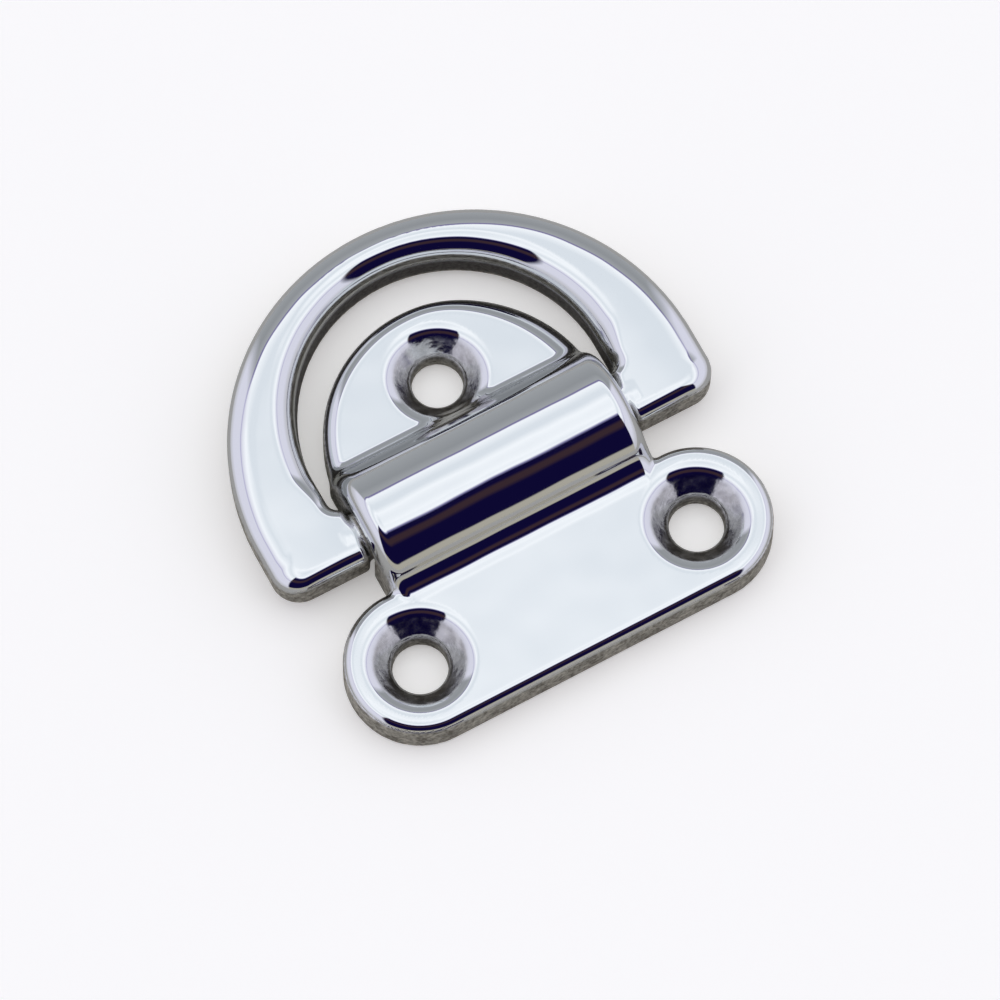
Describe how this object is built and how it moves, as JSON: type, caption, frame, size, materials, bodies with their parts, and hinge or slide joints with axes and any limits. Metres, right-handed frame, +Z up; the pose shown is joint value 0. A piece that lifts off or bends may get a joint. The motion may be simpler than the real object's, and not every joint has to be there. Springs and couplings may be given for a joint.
{
  "type": "folding deck pad eye",
  "caption": "Folding pad eye: a humped cast base plate with countersunk screw holes and a D-shaped ring that hinges in the hump and folds flat around the rear tongue.",
  "frame": {"origin": "on the underside, midway between the two front screw holes", "axes": "+X along the hinge bar, +Y from the front flange towards the crown of the folded ring, +Z up out of the deck"},
  "size_m": [0.0584, 0.0593, 0.0114],
  "materials": {
    "base_steel": "mirror-polished cast stainless steel, with as-cast grainy edges",
    "ring_steel": "mirror-polished cast stainless steel, with as-cast grainy edges",
    "keeper_steel": "plain stainless strip",
    "weld_metal": "dull weld metal"
  },
  "bodies": {
    "base": {"base_casting": "base_steel", "pin_keeper": "keeper_steel", "keeper_weld_front": "weld_metal", "keeper_weld_rear": "weld_metal"},
    "ring": {"d_ring": "ring_steel"}
  },
  "joints": [
    {"name": "ring_fold", "type": "hinge", "parent": "base", "child": "ring", "pos_m": [0, 0.01685, 0.0043], "axis": [1, 0, 0], "range_deg": [-2, 145]}
  ]
}
